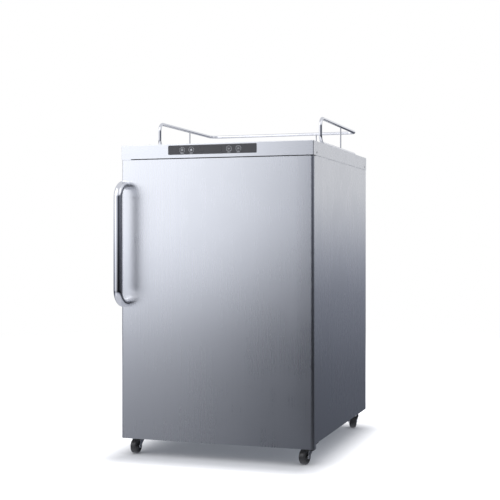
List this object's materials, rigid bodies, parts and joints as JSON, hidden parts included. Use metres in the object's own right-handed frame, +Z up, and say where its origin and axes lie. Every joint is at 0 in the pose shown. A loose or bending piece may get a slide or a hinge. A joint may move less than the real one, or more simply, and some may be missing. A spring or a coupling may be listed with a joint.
{
  "type": "kegerator",
  "caption": "Brushed stainless keg cooler on swivel casters, with a hinged door, tubular side handle, guard-railed worktop, tower hole and a refrigeration unit in its rear step.",
  "frame": {"origin": "centre of the whole object's box, on the floor", "axes": "+X to the right seen from the front, +Y to the rear, +Z up; the door's face looks along -Y"},
  "size_m": [0.6, 0.7078, 1.016],
  "materials": {
    "brushed_stainless": "fine brushed grain",
    "galvanised_steel": "matt galvanised",
    "white_liner": "satin moulded",
    "foam": "closed-cell foam",
    "floor_plate_steel": "pressed sheet",
    "grey_plastic": "moulded",
    "bracket_steel": "black zinc",
    "dark_screw": "blackened",
    "panel_charcoal": "satin overlay",
    "display_glass": "smoked window",
    "key_plastic": "soft-touch key",
    "circuit_board": "solder resist",
    "gasket_rubber": "soft vinyl",
    "polished_steel": "polished",
    "zinc_steel": "bright zinc",
    "wheel_rubber": "hard rubber",
    "black_enamel": "gloss enamel",
    "black_plastic": "moulded",
    "copper": "drawn copper",
    "aluminium_fins": "mill finish",
    "lamp_lens": "frosted"
  },
  "bodies": {
    "cabinet": {"base_pan": "galvanised_steel", "caster_plates": "zinc_steel", "caster_screws": "zinc_steel", "compressor": "black_enamel", "compressor_grommets": "gasket_rubber", "condenser": "black_enamel", "control_board": "circuit_board", "control_panel": "panel_charcoal", "display_window": "display_glass", "drain_tray": "galvanised_steel", "evaporator": "aluminium_fins", "evaporator_cover": "white_liner", "fan_motor": "black_plastic", "filter_drier": "copper", "front_rail": "galvanised_steel", "gas_port_sleeve": "grey_plastic", "guard_rail": "polished_steel", "hinge_blank_left": "brushed_stainless", "hinge_bracket_bottom": "bracket_steel", "hinge_bracket_top": "bracket_steel", "insulation_base": "foam", "insulation_top": "foam", "insulation_walls": "foam", "interior_lamp": "lamp_lens", "keg_floor_plate": "floor_plate_steel", "liner_base": "white_liner", "liner_ceiling": "white_liner", "liner_walls": "white_liner", "panel_screws": "dark_screw", "power_gland": "black_plastic", "rail_feet": "polished_steel", "rail_pickets": "polished_steel", "rear_panel": "galvanised_steel", "refrigerant_lines": "copper", "side_panel_left": "brushed_stainless", "side_panel_right": "brushed_stainless", "start_relay": "black_plastic", "temperature_probe": "white_liner", "tower_sleeve": "grey_plastic", "worktop": "brushed_stainless"},
    "door": {"door_skin": "brushed_stainless", "door_end_caps": "grey_plastic", "door_insulation": "foam", "door_liner": "white_liner", "door_gasket": "gasket_rubber", "door_handle": "polished_steel", "handle_bolts": "zinc_steel"},
    "fan": {"fan_blade": "black_plastic"},
    "key_power": {"button_power": "key_plastic"},
    "key_lock": {"button_lock": "key_plastic"},
    "key_lower": {"button_lower": "key_plastic"},
    "key_raise": {"button_raise": "key_plastic"},
    "fork_front_left": {"caster_fork_front_left": "zinc_steel"},
    "wheel_front_left": {"caster_wheel_front_left": "wheel_rubber"},
    "fork_front_right": {"caster_fork_front_right": "zinc_steel"},
    "wheel_front_right": {"caster_wheel_front_right": "wheel_rubber"},
    "fork_rear_left": {"caster_fork_rear_left": "zinc_steel"},
    "wheel_rear_left": {"caster_wheel_rear_left": "wheel_rubber"},
    "fork_rear_right": {"caster_fork_rear_right": "zinc_steel"},
    "wheel_rear_right": {"caster_wheel_rear_right": "wheel_rubber"}
  },
  "joints": [
    {"name": "door_hinge", "type": "hinge", "parent": "cabinet", "child": "door", "pos_m": [0.29, -0.27615, 0.465], "axis": [0, 0, 1], "range_deg": [0, 120]},
    {"name": "fan_spin", "type": "hinge", "parent": "cabinet", "child": "fan", "pos_m": [0.08, 0.23385, 0.675], "axis": [0, 1, 0], "continuous": true},
    {"name": "key_power_press", "type": "slide", "parent": "cabinet", "child": "key_power", "axis": [0, 1, 0], "range_m": [0, 0.0008], "stiffness_N_per_m": 400},
    {"name": "key_lock_press", "type": "slide", "parent": "cabinet", "child": "key_lock", "axis": [0, 1, 0], "range_m": [0, 0.0008], "stiffness_N_per_m": 400},
    {"name": "key_lower_press", "type": "slide", "parent": "cabinet", "child": "key_lower", "axis": [0, 1, 0], "range_m": [0, 0.0008], "stiffness_N_per_m": 400},
    {"name": "key_raise_press", "type": "slide", "parent": "cabinet", "child": "key_raise", "axis": [0, 1, 0], "range_m": [0, 0.0008], "stiffness_N_per_m": 400},
    {"name": "swivel_front_left", "type": "hinge", "parent": "cabinet", "child": "fork_front_left", "pos_m": [-0.267, -0.23215, 0.05], "axis": [0, 0, 1], "continuous": true},
    {"name": "roll_front_left", "type": "hinge", "parent": "fork_front_left", "child": "wheel_front_left", "pos_m": [-0.26735, -0.25215, 0.0225], "axis": [0.9998, -0.0175, 0], "continuous": true},
    {"name": "swivel_front_right", "type": "hinge", "parent": "cabinet", "child": "fork_front_right", "pos_m": [0.267, -0.23215, 0.05], "axis": [0, 0, 1], "continuous": true},
    {"name": "roll_front_right", "type": "hinge", "parent": "fork_front_right", "child": "wheel_front_right", "pos_m": [0.26353, -0.25185, 0.0225], "axis": [0.9848, -0.1736, 0], "continuous": true},
    {"name": "swivel_rear_left", "type": "hinge", "parent": "cabinet", "child": "fork_rear_left", "pos_m": [-0.267, 0.31085, 0.05], "axis": [0, 0, 1], "continuous": true},
    {"name": "roll_rear_left", "type": "hinge", "parent": "fork_rear_left", "child": "wheel_rear_left", "pos_m": [-0.27116, 0.33041, 0.0225], "axis": [-0.9781, -0.2079, 0], "continuous": true},
    {"name": "swivel_rear_right", "type": "hinge", "parent": "cabinet", "child": "fork_rear_right", "pos_m": [0.267, 0.31085, 0.05], "axis": [0, 0, 1], "continuous": true},
    {"name": "roll_rear_right", "type": "hinge", "parent": "fork_rear_right", "child": "wheel_rear_right", "pos_m": [0.25855, 0.32898, 0.0225], "axis": [-0.9063, -0.4226, 0], "continuous": true}
  ]
}
